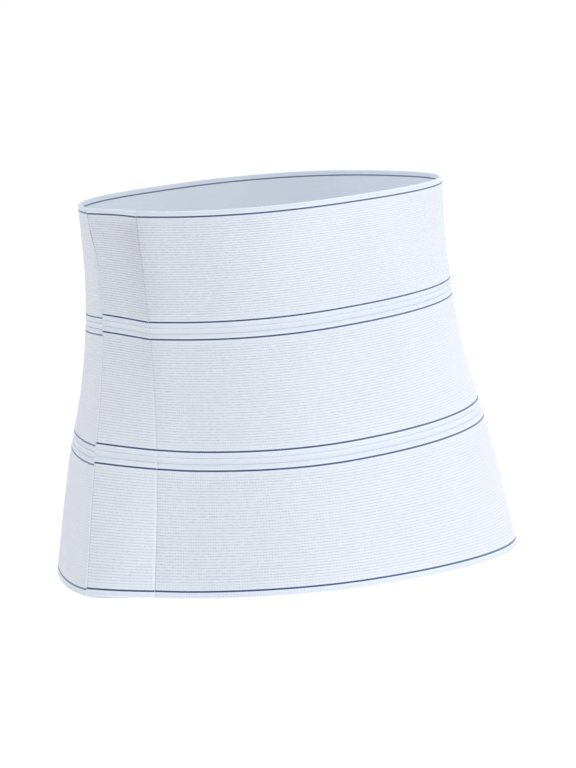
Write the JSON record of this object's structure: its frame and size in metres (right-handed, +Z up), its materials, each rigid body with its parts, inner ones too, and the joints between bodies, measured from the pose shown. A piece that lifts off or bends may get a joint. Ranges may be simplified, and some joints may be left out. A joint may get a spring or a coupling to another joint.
{
  "type": "abdominal binder",
  "caption": "Elastic abdominal binder with panels joined edge to edge, wrapped round the waist and hips and closed at the front by a hook-and-loop flap.",
  "frame": {"origin": "the middle of the waist, on the body's upright axis, where the wearer's waist holds the binder up", "axes": "+Z up along the body, -Y the wearer's front with the flap, +X the wearer's left"},
  "size_m": [0.3266, 0.2683, 0.2516],
  "materials": {
    "elastic_web": "ribbed white elastic webbing with dark blue edge stripes",
    "join_web": "flat white stitched tape",
    "hook_tape": "white hook tape"
  },
  "bodies": {
    "root": {"upper_panel": "elastic_web", "middle_panel": "elastic_web", "lower_panel": "elastic_web", "upper_join_strip": "join_web", "lower_join_strip": "join_web", "hook_patch": "hook_tape"}
  },
  "joints": []
}
